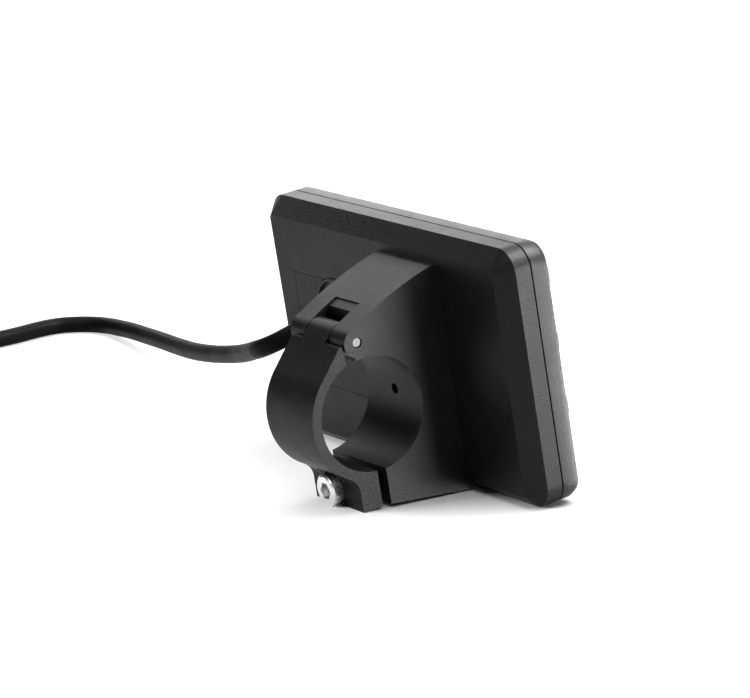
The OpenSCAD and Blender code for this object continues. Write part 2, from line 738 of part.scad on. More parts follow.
// Least gap between parts of the coil more than half a loop apart
coil_gap = min([for (i = [0:len(coil_path) - 1], j = [i + coil_rings / 2:len(coil_path) - 1])
    norm(coil_path[i] - coil_path[j])]) - lead_d;
path_length = function(path) [for (i = 0, sum = 0; i < len(path);
    sum = sum + (i < len(path) - 1 ? norm(path[i + 1] - path[i]) : 0), i = i + 1) sum][len(path) - 1];
echo(coil_gap = coil_gap, free = path_length(concat([gland_tip], route)), coil = path_length(coil_path));

module cable() {
    color("#101012") tube(concat([gland_tip, gland_tip + lead_r * gland_way], route), lead_r, 10, gland_way,
        [0, -1, 0]);
}

module cable_coil() { color("#101012") tube(coil_path, lead_r, coil_sides, [0, -1, 0], [0, -1, 0]); }

// Flat band round the four runs of the coil opposite its start
module coil_tie() {
    slack = 8 * fit;
    near = coil_centre[0] - coil_r + 1.5 * coil_pitch + lead_r + slack;
    far = coil_centre[0] - coil_r + coil_pitch / 2 - lead_r - slack;
    top = coil_centre[2] + coil_pitch + lead_r + 3 * fit;
    color("#1a1a1a") difference() {
        translate([far - tie_t, coil_centre[1] - tie_w / 2, floor_z])
            cube([near - far + 2 * tie_t, tie_w, top + tie_t - floor_z]);
        translate([far, coil_centre[1] - tie_w / 2 - over, floor_z + tie_t])
            cube([near - far, tie_w + 2 * over, top - floor_z - tie_t]);
    }
}

// Puts a piece drawn along Z on the plug's axis, from the lead's end outwards
module on_plug() { translate(out_point(1)) rotate([90, 0, 0]) children(); }

module plug_body() {
    core_r = plug_d / 2 - tie_t - fit;
    color("#161618") on_plug() rotate_extrude() polygon([[0, 0], [lead_r + boot_tip_t, 0],
        [core_r - tie_t, plug_l / 3], [core_r, plug_l / 3], [core_r, plug_l], [0, plug_l]]);
}

module plug_collar() {
    inner_r = plug_d / 2 - tie_t;
    color("#202023") on_plug() rotate_extrude() polygon([
        [inner_r, plug_l - plug_collar_l / 2], [plug_d / 2, plug_l - plug_collar_l / 2],
        [plug_d / 2, plug_l + plug_collar_l / 2], [inner_r, plug_l + plug_collar_l / 2]]);
}

module plug_pins() {
    pin_circle = plug_d / 4;
    pins = 5;
    color("gold") on_plug() for (i = [0:pins - 1]) rotate([0, 0, 360 * i / pins])
        translate([pin_circle, 0, plug_l]) cylinder(h = plug_collar_l / 2 - 3 * fit, r = plug_pin_d / 2);
}

rear_housing();
front_housing();
housing_seal();
screen_lens();
display_glass();
light_guide();
display_tray();
main_board();
board_screws();
push_switches();
key_mat();
button_up();
button_power();
button_down();
name_plate();
outlet_gland();
gland_nut();
inner_lead();
clamp_insert();
hinge_pin();
clamp_strap();
clamp_washer();
clamp_screw();
cable();
cable_coil();
coil_tie();
plug_body();
plug_collar();
plug_pins();
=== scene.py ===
import json
import math

import bmesh
import bpy
from mathutils import Matrix, Vector


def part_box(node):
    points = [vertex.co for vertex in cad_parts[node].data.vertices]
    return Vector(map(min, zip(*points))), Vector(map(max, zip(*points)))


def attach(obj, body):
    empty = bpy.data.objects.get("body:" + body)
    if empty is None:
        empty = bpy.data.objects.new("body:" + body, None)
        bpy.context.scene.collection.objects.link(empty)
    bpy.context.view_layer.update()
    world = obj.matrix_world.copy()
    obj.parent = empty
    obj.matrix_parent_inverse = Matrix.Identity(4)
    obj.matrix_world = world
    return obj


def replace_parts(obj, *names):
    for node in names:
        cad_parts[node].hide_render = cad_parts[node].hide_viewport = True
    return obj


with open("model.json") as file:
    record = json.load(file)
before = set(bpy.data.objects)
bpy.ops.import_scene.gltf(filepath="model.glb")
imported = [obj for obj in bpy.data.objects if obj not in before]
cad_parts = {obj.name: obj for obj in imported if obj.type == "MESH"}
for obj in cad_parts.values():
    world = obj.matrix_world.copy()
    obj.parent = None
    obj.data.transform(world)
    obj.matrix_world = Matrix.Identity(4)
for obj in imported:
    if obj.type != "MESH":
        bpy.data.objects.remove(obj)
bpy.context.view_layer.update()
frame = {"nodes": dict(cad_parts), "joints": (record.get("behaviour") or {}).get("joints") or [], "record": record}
scene = bpy.context.scene
record = frame["record"]
joints = {j["name"]: j for j in frame["joints"]}

# Sizes are in millimetres in the clamp's own axes, as the object was designed, and are turned
# into metres in its resting position by the functions below. Comments say where it is otherwise.
MM = 0.001
PRESS = Vector(joints["power_press"]["axis"])
TILT = math.atan2(-PRESS.z, -PRESS.y)
TIP = Matrix.Rotation(TILT, 4, "X")
CLAMP_AXES = TIP @ Matrix.Scale(MM, 4)
QUARTER = math.radians(90)


def at(x, y, z):
    """A point given in the clamp's axes, in the row frame."""
    return TIP @ (Vector((x, y, z)) * MM)


# Sizes of the pieces that are made again here, as in the model
LEAD_R = 2.7
LUG_FACE = 7.35
SCREW_Z = -21.3
HEAD_R = 4.5
HEAD_H = 3.5
SHANK_R = 2.1
SHANK_L = 12.0
SOCKET_AF = 4.0
SOCKET_DEEP = 2.2
THREAD_PITCH = 0.8
CASE_BACK = 26.1
ARM_HALF = 13.5
ARM_FILLET = 1.5
FRONT_Y = 42.05
OUTLET = (-41.8, 12.15)
RIM_R = 9.9
RIM_W = 0.9
RIM_OUT = 0.4
DISH = 0.8
GROMMET_T = 0.7
NECK_R = 3.8
NECK_DEEP = 4.4
BOOT_L = 4.6
BOOT_TIP_T = 0.8
BOOT_ROOT_R = 5.0
BUTTON_X = 38.45
BUTTON_Z = 12.5
BUTTON_PITCH = 18.3
BUTTON_PROUD = 2.15
LENS_X = -20.0
LENS_Z = 5.5
LENS_T = 1.4


# Camera

# Place and aim of the camera in the clamp's axes, fitted to the photograph's edges
CAMERA_AT = (848.2, -489.9, 306.9)
CAMERA_YAW = math.radians(59.402)
CAMERA_PITCH = math.radians(-16.63)
CAMERA_ROLL = math.radians(-9.139)
FOCAL_PX = 3800.0
PHOTO_W = 750
SENSOR = 36.0
# Nearest and farthest distance that is drawn, in metres
CLIP_NEAR = 0.05
CLIP_FAR = 20.0


def make_camera():
    """The photograph's camera, with the roll that tilts the picture."""
    data = bpy.data.cameras.new("camera")
    data.sensor_width = SENSOR
    data.lens = FOCAL_PX / PHOTO_W * SENSOR
    data.clip_start = CLIP_NEAR
    data.clip_end = CLIP_FAR
    camera = bpy.data.objects.new("camera", data)
    scene.collection.objects.link(camera)
    ahead = Vector((-math.sin(CAMERA_YAW) * math.cos(CAMERA_PITCH),
                    math.cos(CAMERA_YAW) * math.cos(CAMERA_PITCH), math.sin(CAMERA_PITCH)))
    right = ahead.cross(Vector((0, 0, 1))).normalized()
    up = right.cross(ahead)
    rolled_right = right * math.cos(CAMERA_ROLL) + up * math.sin(CAMERA_ROLL)
    rolled_up = up * math.cos(CAMERA_ROLL) - right * math.sin(CAMERA_ROLL)
    turn = Matrix((rolled_right, rolled_up, -ahead)).transposed().to_4x4()
    camera.matrix_world = Matrix.Translation(at(*CAMERA_AT)) @ TIP @ turn
    scene.camera = camera


make_camera()


# Materials

# Patterns in repeats a metre, and their depths in metres
GRAIN = 2300.0
GRAIN_DEPTH = 0.00014
GRAIN_STRENGTH = 0.8
SPECK_SHARE = 0.8
GLOSS_PATCHES = 140.0
MACHINING = 900.0
MACHINING_DEPTH = 0.00001
MACHINING_STRENGTH = 0.25
WEAR_PATCHES = 300.0
WORN_SHARE = 0.8
WINDOW_SMEARS = 90.0
WINDOW_WAVES = 40.0
WINDOW_WAVE_DEPTH = 0.00002
TAPE_LOOPS = 2600.0
TAPE_DEPTH = 0.0002
TRACKS = 160.0
TRACK_DEPTH = 0.00003

# Range that most of a noise's values lie in
NOISE_LOW = 0.3
NOISE_HIGH = 0.7


def new_material(name):
    material = bpy.data.materials.new(name)
    material.use_nodes = True
    nodes = material.node_tree.nodes
    return material, nodes, material.node_tree.links, nodes["Principled BSDF"]


def noise(nodes, links, coords, scale, detail=4.0, rough=0.6):
    node = nodes.new("ShaderNodeTexNoise")
    node.inputs["Scale"].default_value = scale
    node.inputs["Detail"].default_value = detail
    node.inputs["Roughness"].default_value = rough
    links.new(coords, node.inputs["Vector"])
    return node.outputs["Fac"]


def ramp(nodes, links, value, low, high, from_low=NOISE_LOW, from_high=NOISE_HIGH, kind="LINEAR"):
    """A value taken from one range to another, and kept inside it."""
    node = nodes.new("ShaderNodeMapRange")
    node.interpolation_type = kind
    for name, number in (("From Min", from_low), ("From Max", from_high), ("To Min", low), ("To Max", high)):
        node.inputs[name].default_value = number
    links.new(value, node.inputs["Value"])
    return node.outputs["Result"]


def tint(nodes, links, value, dark, light):
    node = nodes.new("ShaderNodeMix")
    node.data_type = "RGBA"
    node.inputs["A"].default_value = (*dark, 1)
    node.inputs["B"].default_value = (*light, 1)
    links.new(value, node.inputs["Factor"])
    return node.outputs["Result"]


def bump(nodes, links, height, strength, distance):
    node = nodes.new("ShaderNodeBump")
    node.inputs["Strength"].default_value = strength
    node.inputs["Distance"].default_value = distance
    links.new(height, node.inputs["Height"])
    return node.outputs["Normal"]


def moulded(name, dark, light, rough, grain=GRAIN, depth=GRAIN_DEPTH, strength=GRAIN_STRENGTH,
            specular=0.5):
    """Moulded plastic or rubber with a fine grain, lighter specks and uneven gloss."""
    material, nodes, links, shader = new_material(name)
    coords = nodes.new("ShaderNodeTexCoord").outputs["Object"]
    fine = noise(nodes, links, coords, grain, detail=3.0, rough=0.55)
    coarse = noise(nodes, links, coords, SPECK_SHARE * grain, detail=2.0, rough=0.7)
    specks = ramp(nodes, links, coarse, 0.0, 1.0, from_low=0.35, from_high=0.75)
    links.new(tint(nodes, links, specks, dark, light), shader.inputs["Base Color"])
    patches = noise(nodes, links, coords, GLOSS_PATCHES)
    links.new(ramp(nodes, links, patches, *rough), shader.inputs["Roughness"])
    links.new(bump(nodes, links, fine, strength, depth), shader.inputs["Normal"])
    shader.inputs["Specular IOR Level"].default_value = specular
    return material


def metal(name, colour, rough, brushed=(1.0, 1.0, 1.0)):
    """Metal with fine machining marks, which can be drawn out along one direction."""
    material, nodes, links, shader = new_material(name)
    coords = nodes.new("ShaderNodeTexCoord").outputs["Object"]
    stretch = nodes.new("ShaderNodeMapping")
    stretch.inputs["Scale"].default_value = brushed
    links.new(coords, stretch.inputs["Vector"])
    marks = noise(nodes, links, stretch.outputs["Vector"], MACHINING, detail=5.0, rough=0.65)
    links.new(ramp(nodes, links, marks, *rough), shader.inputs["Roughness"])
    wear = ramp(nodes, links, noise(nodes, links, coords, WEAR_PATCHES), 0.0, 1.0)
    worn = tuple(WORN_SHARE * c for c in colour)
    links.new(tint(nodes, links, wear, worn, colour), shader.inputs["Base Color"])
    links.new(bump(nodes, links, marks, MACHINING_STRENGTH, MACHINING_DEPTH), shader.inputs["Normal"])
    shader.inputs["Metallic"].default_value = 1.0
    return material


def lens_material():
    """Clear window, very slightly smeared and wavy."""
    material, nodes, links, shader = new_material("window_clear")
    coords = nodes.new("ShaderNodeTexCoord").outputs["Object"]
    smears = noise(nodes, links, coords, WINDOW_SMEARS)
    links.new(ramp(nodes, links, smears, low=0.015, high=0.05), shader.inputs["Roughness"])
    waves = noise(nodes, links, coords, WINDOW_WAVES, detail=2.0)
    wavy = bump(nodes, links, waves, strength=0.02, distance=WINDOW_WAVE_DEPTH)
    links.new(wavy, shader.inputs["Normal"])
    shader.inputs["Base Color"].default_value = (0.55, 0.57, 0.58, 1)
    shader.inputs["Transmission Weight"].default_value = 1.0
    shader.inputs["IOR"].default_value = 1.49
    return material


def cloth_material():
    """Hook and loop tape with fine loops."""
    material, nodes, links, shader = new_material("tape_black")
    coords = nodes.new("ShaderNodeTexCoord").outputs["Object"]
    loops = nodes.new("ShaderNodeTexVoronoi")
    loops.inputs["Scale"].default_value = TAPE_LOOPS
    links.new(coords, loops.inputs["Vector"])
    height = loops.outputs["Distance"]
    shade = tint(nodes, links, height, dark=(0.016, 0.016, 0.017), light=(0.004, 0.004, 0.0045))
    links.new(shade, shader.inputs["Base Color"])
    links.new(bump(nodes, links, height, strength=0.8, distance=TAPE_DEPTH), shader.inputs["Normal"])
    shader.inputs["Roughness"].default_value = 0.9
    shader.inputs["Specular IOR Level"].default_value = 0.04
    return material


def board_material():
    """Green board: solder mask over faint copper tracks."""
    material, nodes, links, shader = new_material("board_green")
    coords = nodes.new("ShaderNodeTexCoord").outputs["Object"]
    tracks = nodes.new("ShaderNodeTexBrick")
    tracks.inputs["Scale"].default_value = TRACKS
    tracks.inputs["Color1"].default_value = (0.012, 0.11, 0.04, 1)
    tracks.inputs["Color2"].default_value = (0.016, 0.15, 0.055, 1)
    tracks.inputs["Mortar"].default_value = (0.02, 0.22, 0.08, 1)
    links.new(coords, tracks.inputs["Vector"])
    links.new(tracks.outputs["Color"], shader.inputs["Base Color"])
    raised = bump(nodes, links, tracks.outputs["Fac"], strength=0.3, distance=TRACK_DEPTH)
    links.new(raised, shader.inputs["Normal"])
    shader.inputs["Roughness"].default_value = 0.3
    return material


BLACK = (0.003, 0.003, 0.0033)
BLACK_LIGHT = (0.0062, 0.0062, 0.0066)
SATIN = (0.33, 0.41)
MATERIALS = {
    "housing": moulded("housing_black", BLACK, BLACK_LIGHT, SATIN, specular=0.09),
    "bezel": moulded("front_black", (0.0045, 0.0045, 0.0048), (0.006, 0.006, 0.0064), SATIN,
                     specular=0.11),
    "strap": moulded("strap_black", BLACK, BLACK_LIGHT, SATIN, specular=0.07),
    "seal": moulded("seal_grey", (0.02, 0.02, 0.02), (0.03, 0.03, 0.03), rough=(0.6, 0.7)),
    "lens": lens_material(),
    "panel": moulded("panel_grey", (0.075, 0.085, 0.078), (0.09, 0.1, 0.092), rough=(0.12, 0.18),
                     grain=300.0, depth=0.00001, strength=0.1),
    "guide": moulded("guide_white", (0.8, 0.82, 0.84), (0.86, 0.88, 0.9), rough=(0.3, 0.4)),
    "tray": moulded("tray_white", (0.68, 0.68, 0.65), (0.76, 0.76, 0.73), rough=(0.45, 0.55)),
    "board": board_material(),
    "small_screws": metal("zinc", (0.62, 0.62, 0.64), rough=(0.25, 0.4)),
    "switches": metal("switch_steel", (0.5, 0.5, 0.52), rough=(0.3, 0.45)),
    "mat": moulded("mat_grey", (0.15, 0.15, 0.16), (0.19, 0.19, 0.2), rough=(0.55, 0.65)),
    "button": moulded("key_black", (0.01, 0.01, 0.011), (0.014, 0.014, 0.015), rough=(0.45, 0.58),
                      grain=3600.0, specular=0.3),
    "plate": moulded("plate_black", BLACK, BLACK_LIGHT, rough=(0.32, 0.4), grain=2600.0, specular=0.08),
    "gland": moulded("gland_black", (0.004, 0.004, 0.0043), (0.006, 0.006, 0.0064), rough=(0.42, 0.55),
                     grain=3000.0, specular=0.24),
    "nut": moulded("nut_black", (0.04, 0.04, 0.042), (0.05, 0.05, 0.052), rough=(0.4, 0.5)),
    "lead": moulded("jacket_black", BLACK, (0.0045, 0.0045, 0.005), rough=(0.38, 0.46), grain=1500.0,
                    depth=0.00003, strength=0.15, specular=0.016),
    "insert": metal("brass", (0.75, 0.55, 0.26), rough=(0.25, 0.4)),
    "pin": metal("pin_steel", (0.032, 0.032, 0.033), rough=(0.2, 0.34), brushed=(0.1, 1.0, 1.0)),
    "washer": metal("washer_black", (0.05, 0.05, 0.053), rough=(0.3, 0.42)),
    "screw": metal("screw_steel", (0.84, 0.84, 0.85), rough=(0.24, 0.36)),
    "tie": cloth_material(),
    "plug": moulded("plug_black", (0.006, 0.006, 0.0065), (0.009, 0.009, 0.0095), rough=(0.42, 0.55),
                    grain=3000.0, specular=0.25),
    "plug_collar": moulded("collar_black", (0.008, 0.008, 0.0085), (0.012, 0.012, 0.0125),
                           rough=(0.34, 0.44), specular=0.25),
    "contacts": metal("gold", (0.95, 0.72, 0.32), rough=(0.12, 0.22)),
}
SLOT_OF = {p["node"]: p["material_slot"] for p in record["subparts"]}
BODY_OF = {n: b for b, names in record["behaviour"]["bodies"].items() for n in names}


# Making and placing pieces

# Points closer than the first are welded, and edges shorter than the second are taken out
WELD = 0.004
SLIVER = 0.002
# Neighbouring faces within this angle of each other are one flat face, in degrees
FLAT = 0.6
# Edges sharper than the first angle are rounded, and those below the second are shaded smooth
SHARP = 28.0
SMOOTH = 30.0
ROUND_SEGMENTS = 3


def finish_piece(name, mesh, slot, body):
    mesh.shade_smooth()
    piece = bpy.data.objects.new(name, mesh)
    scene.collection.objects.link(piece)
    mesh.materials.append(MATERIALS[slot])
    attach(piece, body)
    return piece


def mark_smooth(piece, angle):
    """Smooth shading between faces that meet at less than an angle."""
    form = bmesh.new()
    form.from_mesh(piece.data)
    bmesh.ops.remove_doubles(form, verts=form.verts, dist=SLIVER * MM)
    bmesh.ops.recalc_face_normals(form, faces=form.faces)
    limit = math.radians(angle)
    for face in form.faces:
        face.smooth = True
    for edge in form.edges:
        edge.smooth = len(edge.link_faces) == 2 and edge.calc_face_angle(0.0) < limit
    form.to_mesh(piece.data)
    form.free()


def add(name, points, faces, slot, body, place=CLAMP_AXES, smooth=SMOOTH):
    """A new piece from points in millimetres in the clamp's axes, or in its own axes with a place."""
    mesh = bpy.data.meshes.new(name)
    mesh.from_pydata([place @ Vector(p) for p in points], [], faces)
    mesh.validate()
    piece = finish_piece(name, mesh, slot, body)
    mark_smooth(piece, smooth)
    return piece


def round_edges(piece, width, angle):
    """Rounds every edge sharper than an angle, with even shading on both sides."""
    bevel = piece.modifiers.new("round", "BEVEL")
    bevel.width = width * MM
    bevel.segments = ROUND_SEGMENTS
    bevel.limit_method = "ANGLE"
    bevel.angle_limit = math.radians(angle)
    bevel.harden_normals = True
    bevel.use_clamp_overlap = True


def dressed(node, width, angle=SHARP):
    """A clean copy of a model node's surface with rounded edges, standing for the node."""
    source = frame["nodes"][node].data
    name = node + "_skin"
    mesh = bpy.data.meshes.new(name)
    mesh.from_pydata([v.co for v in source.vertices], [], [list(p.vertices) for p in source.polygons])
    form = bmesh.new()
    form.from_mesh(mesh)
    bmesh.ops.remove_doubles(form, verts=form.verts, dist=WELD * MM)
    bmesh.ops.dissolve_degenerate(form, edges=form.edges, dist=SLIVER * MM)
    bmesh.ops.dissolve_limit(form, angle_limit=math.radians(FLAT), verts=form.verts, edges=form.edges)
    bmesh.ops.recalc_face_normals(form, faces=form.faces)
    form.to_mesh(mesh)
    form.free()
    piece = finish_piece(name, mesh, SLOT_OF[node], BODY_OF[node])
    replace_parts(piece, node)
    round_edges(piece, width, angle)
    return piece


def join_rings(faces, first, second, count):
    """Adds the faces between two rings of points, each given by the number of its first point."""
    for k in range(count):
        j = (k + 1) % count
        faces.append((first + k, first + j, second + j, second + k))


def lathe(profile, steps, radius=None):
    """Points and faces of a profile of (along, radius) pairs turned about Z.
    radius(r, along, angle) may change the radius round the turn."""
    points, faces = [], []
    for along, r in profile:
        for k in range(steps):
            a = 2 * math.pi * k / steps
            here = radius(r, along, a) if radius else r
            points.append((here * math.cos(a), here * math.sin(a), along))
    for i in range(len(profile) - 1):
        join_rings(faces, i * steps, (i + 1) * steps, steps)
    return points, faces


def rounded_outline(width, height, corner, steps):
    """Points round a rectangle with rounded corners, centred on the origin."""
    outline = []
    for sx, sy, start in ((1, 1, 0), (-1, 1, 90), (-1, -1, 180), (1, -1, 270)):
        for i in range(steps + 1):
            a = math.radians(start + 90 * i / steps)
            outline.append((sx * (width / 2 - corner) + corner * math.cos(a),
                            sy * (height / 2 - corner) + corner * math.sin(a)))
    return outline


def outward_place(x, y, z):
    """Own axes at a point given in the clamp's axes, with Z pointing away from the case."""
    return CLAMP_AXES @ Matrix.Translation((x, y, z)) @ Matrix.Rotation(QUARTER, 4, "X")


# The lead, first, because the room that it takes decides the layout

# Points of its free run from the outlet to the coil, in millimetres in the row frame
ROUTE = [(-41.8, 14, 13.1), (-42.4, 10.2, 11.5), (-44.6, 7.2, 9.6), (-48.6, 5.6, 7.6), (-54, 5.9, 5.7),
         (-61, 8.2, 3.7), (-70, 11.4, 1.1), (-82.5, 15.7, -2.2), (-100.1, 20.7, -6.2), (-120, 26, -10.1),
         (-138.7, 31.4, -13.3), (-157.6, 36.8, -15.9), (-175.8, 41.7, -18), (-192.1, 45.8, -19.9),
         (-206.8, 48.8, -21.3), (-220.7, 51.2, -22.8), (-231.5, 51.9, -23.8), (-237.7, 50, -24.1),
         (-241.8, 45.8, -24.1), (-244.2, 40.5, -24.1), (-243.8, 33, -24.1), (-241.6, 24, -24.1),
         (-240, 14, -24), (-239.8, 5, -23.6), (-240, -4, -23.2)]
FLOOR_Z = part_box("coil_tie")[0].z / MM
COIL_LOOPS = 4
COIL_RINGS = 24
COIL_PITCH = 6.0
COIL_R = 33.8
COIL_LIFT = 0.9
CLIMB = 0.25
LEAD_OUT = 34.0
LEAD_OUT_STEPS = 8
LEAD_SIDE_STEPS = 5
LEAD_RUN_STEPS = 6
PLUG_R = 6.0


def eased(share):
    return (1 - math.cos(math.pi * min(1, max(0, share)))) / 2


def coil_point(t):
    """Place of the coil's centreline after t turns, in millimetres in the row frame.
    It winds inwards in the lower layer, climbs halfway and winds outwards in the upper one."""
    half = COIL_LOOPS / 2
    away = abs(t - half)
    drawn_in = half - away
    if away < CLIMB:
        drawn_in = half - CLIMB / 2 - away ** 2 / (2 * CLIMB)
    r = COIL_R - COIL_PITCH * drawn_in
    centre = Vector((ROUTE[-1][0] - COIL_R, ROUTE[-1][1] - 2 * LEAD_R, FLOOR_Z + LEAD_R + COIL_LIFT))
    rise = COIL_PITCH * eased((t - half + CLIMB) / (2 * CLIMB))
    a = 2 * math.pi * t
    return centre + Vector((r * math.cos(a), -r * math.sin(a), rise))


def out_point(share):
    """Place of the run from the coil's end down to the plug, also in the row frame."""
    end = coil_point(COIL_LOOPS)
    drop = PLUG_R + FLOOR_Z - end.z
    fall = eased((share * LEAD_OUT - 2 * LEAD_R) / (LEAD_OUT - 4 * LEAD_R))
    return end + Vector((0, -share * LEAD_OUT, drop * fall))


def make_lead():
    tip = at(OUTLET[0], CASE_BACK - BOOT_L, OUTLET[1])
    points = [tip, tip + PRESS * LEAD_R * MM]
    points += [Vector(p) * MM for p in ROUTE]
    points += [coil_point(i / COIL_RINGS) * MM for i in range(COIL_LOOPS * COIL_RINGS + 1)]
    points += [out_point(i / LEAD_OUT_STEPS) * MM for i in range(1, LEAD_OUT_STEPS + 1)]
    curve = bpy.data.curves.new("lead", "CURVE")
    curve.dimensions = "3D"
    curve.bevel_depth = LEAD_R * MM
    curve.bevel_resolution = LEAD_SIDE_STEPS
    curve.resolution_u = LEAD_RUN_STEPS
    curve.use_fill_caps = True
    spline = curve.splines.new("BEZIER")
    spline.bezier_points.add(len(points) - 1)
    for knot, p in zip(spline.bezier_points, points):
        knot.co = p
        knot.handle_left_type = knot.handle_right_type = "AUTO"
    lead = bpy.data.objects.new("lead", curve)
    scene.collection.objects.link(lead)
    curve.materials.append(MATERIALS["lead"])
    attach(lead, "case")
    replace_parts(lead, "cable", "cable_coil")
    return lead, tip


lead, lead_tip = make_lead()


# Stage and light, in metres in the row frame

FLOOR_HALF = 4.0
# The floor's colour holds painted shade and painted light: it is darker under the object and pales in this
# direction, between these two distances, standing in for uneven light on the floor
PAINTED_LIGHT_TOWARDS = (0.6, 0.8, 0)
PAINTED_LIGHT_FROM = -0.02
PAINTED_LIGHT_TO = 0.14
FLOOR_PAINTED_SHADE = (0.52, 0.52, 0.52)
FLOOR_PAINTED_LIGHT = (0.9, 0.9, 0.9)


def make_stage():
    mesh = bpy.data.meshes.new("floor")
    z = FLOOR_Z * MM
    corners = [(sx * FLOOR_HALF, sy * FLOOR_HALF, z) for sx, sy in ((-1, -1), (1, -1), (1, 1), (-1, 1))]
    mesh.from_pydata(corners, [], [(0, 1, 2, 3)])
    floor = bpy.data.objects.new("floor", mesh)
    scene.collection.objects.link(floor)
    material, nodes, links, shader = new_material("floor_white_painted_light")
    coords = nodes.new("ShaderNodeTexCoord").outputs["Object"]
    across = nodes.new("ShaderNodeVectorMath")
    across.operation = "DOT_PRODUCT"
    across.inputs[1].default_value = PAINTED_LIGHT_TOWARDS
    links.new(coords, across.inputs[0])
    # Painted shade and light: the floor's colour goes from darker to paler along one direction
    painted_light = ramp(nodes, links, across.outputs["Value"], 0.0, 1.0, PAINTED_LIGHT_FROM, PAINTED_LIGHT_TO)
    links.new(tint(nodes, links, painted_light, FLOOR_PAINTED_SHADE, FLOOR_PAINTED_LIGHT), shader.inputs["Base Color"])
    shader.inputs["Roughness"].default_value = 0.6
    mesh.materials.append(material)
    return floor


def make_world():
    """Even white behind everything, with a studio seen only by light and reflections:
    bright behind and right above the object, dark towards the front."""
    world = bpy.data.worlds.new("studio")
    scene.world = world
    world.use_nodes = True
    nodes, links = world.node_tree.nodes, world.node_tree.links
    nodes.clear()
    out = nodes.new("ShaderNodeOutputWorld")
    path = nodes.new("ShaderNodeLightPath")
    coords = nodes.new("ShaderNodeTexCoord")
    split = nodes.new("ShaderNodeSeparateXYZ")
    links.new(coords.outputs["Generated"], split.inputs["Vector"])
    behind = ramp(nodes, links, split.outputs["Y"], 0.06, 0.9, from_low=0.05, from_high=0.45,
                  kind="SMOOTHSTEP")
    above = ramp(nodes, links, split.outputs["Z"], 0.0, 5.0, from_low=0.62, from_high=0.95,
                 kind="SMOOTHSTEP")
    total = nodes.new("ShaderNodeMath")
    total.operation = "ADD"
    links.new(behind, total.inputs[0])
    links.new(above, total.inputs[1])
    studio = nodes.new("ShaderNodeBackground")
    links.new(total.outputs["Value"], studio.inputs["Strength"])
    white = nodes.new("ShaderNodeBackground")
    white.inputs["Color"].default_value = (1, 1, 1, 1)
    mix = nodes.new("ShaderNodeMixShader")
    links.new(path.outputs["Is Camera Ray"], mix.inputs["Fac"])
    links.new(studio.outputs["Background"], mix.inputs[1])
    links.new(white.outputs["Background"], mix.inputs[2])
    links.new(mix.outputs["Shader"], out.inputs["Surface"])


def softbox(name, place, aim, size, power):
    """A flat rectangular light that shines from a place at a point."""
    data = bpy.data.lights.new(name, "AREA")
    data.shape = "RECTANGLE"
    data.size, data.size_y = size
    data.energy = power
    light = bpy.data.objects.new(name, data)
    scene.collection.objects.link(light)
    light.location = place
    light.rotation_mode = "QUATERNION"
    light.rotation_quaternion = (Vector(aim) - Vector(place)).to_track_quat("-Z", "Y")
    return light


def linked(name, state, pieces):
    """A list of pieces for a light, which takes them in or leaves them out."""
    listed = bpy.data.collections.new(name)
    for piece in pieces:
        listed.objects.link(piece)
    for member in listed.collection_objects:
        member.light_linking.link_state = state
    return listed


def spare(light, *pieces):
    """Keeps a light off some pieces, such as the floor, which then shows no shadow from it."""
    light.light_linking.receiver_collection = linked(light.name + "_spares", "EXCLUDE", pieces)


def only(light, *pieces):
    """Keeps a light to some pieces."""
    light.light_linking.receiver_collection = linked(light.name + "_lights", "INCLUDE", pieces)


def pass_through(light, *pieces):
    """Lets a light through some pieces, which then draw no shadow from it."""
    light.light_linking.blocker_collection = linked(light.name + "_passes", "EXCLUDE", pieces)


CASE_MIDDLE = (0, 0.03, 0)
floor = make_stage()
make_world()
right_box = softbox("right_box", place=(0.95, 0.6, 0.0), aim=CASE_MIDDLE, size=(0.6, 0.5), power=36.0)
left_panel = softbox("left_panel", place=(-1.1, 0.48, 0.52), aim=CASE_MIDDLE, size=(1.3, 0.95), power=10.8)
top_box = softbox("top_box", place=(0.33, 0.56, 0.91), aim=CASE_MIDDLE, size=(0.65, 0.65), power=60.0)
front_fill = softbox("front_fill", place=(-0.5, -1.0, 0.6), aim=(0, 0, FLOOR_Z * MM), size=(0.8, 0.5),
                     power=31.0)
back_fill = softbox("back_fill", place=(0.15, 0.55, 0.75), aim=(0.15, 0.4, FLOOR_Z * MM), size=(0.5, 0.5),
                    power=6.0)
bevel_box = softbox("bevel_box", place=(0.25, 1.0, -0.25), aim=(0.04, 0.05, 0.01), size=(0.3, 0.4),
                    power=13.0)
corner_box = softbox("corner_box", place=(0.0, -1.0, 0.56), aim=(0, 0.03, 0.03), size=(0.25, 0.25),
                     power=2.0)
lead_strip = softbox("lead_strip", place=(-1.05, 0.6, 0.45), aim=(-0.1, 0.03, 0), size=(0.9, 0.12),
                     power=5.0)
spare(right_box, floor, lead)
spare(left_panel, floor, lead)
spare(top_box, floor)
spare(corner_box, floor, lead)
spare(bevel_box, floor, lead)
only(front_fill, floor)
only(back_fill, floor)
only(lead_strip, lead)
pass_through(right_box, floor)
pass_through(bevel_box, floor)
pass_through(front_fill, lead)
pass_through(back_fill, lead)
scene.view_settings.view_transform = "Standard"


# Shells, clamp and the pieces inside

# Share of the arm's fillet that is left, and how near to its arc a point of it lies
FOOT_SHARE = 0.02
ARC_GAP = 0.03
ARC_END = 0.01
# Width of the rounding of each piece's edges
CASE_EDGE = 0.35
EDGES = {
    "front_housing": CASE_EDGE,
    "clamp_strap": 0.3,
    "housing_seal": 0.1,
    "name_plate": 0.08,
    "screen_lens": 0.25,
    "display_glass": 0.15,
    "light_guide": 0.1,
    "display_tray": 0.2,
    "main_board": 0.1,
    "board_screws": 0.15,
    "push_switches": 0.2,
    "key_mat": 0.2,
    "gland_nut": 0.2,
    "clamp_insert": 0.15,
    "hinge_pin": 0.25,
    "clamp_washer": 0.15,
    "inner_lead": 0.1,
}


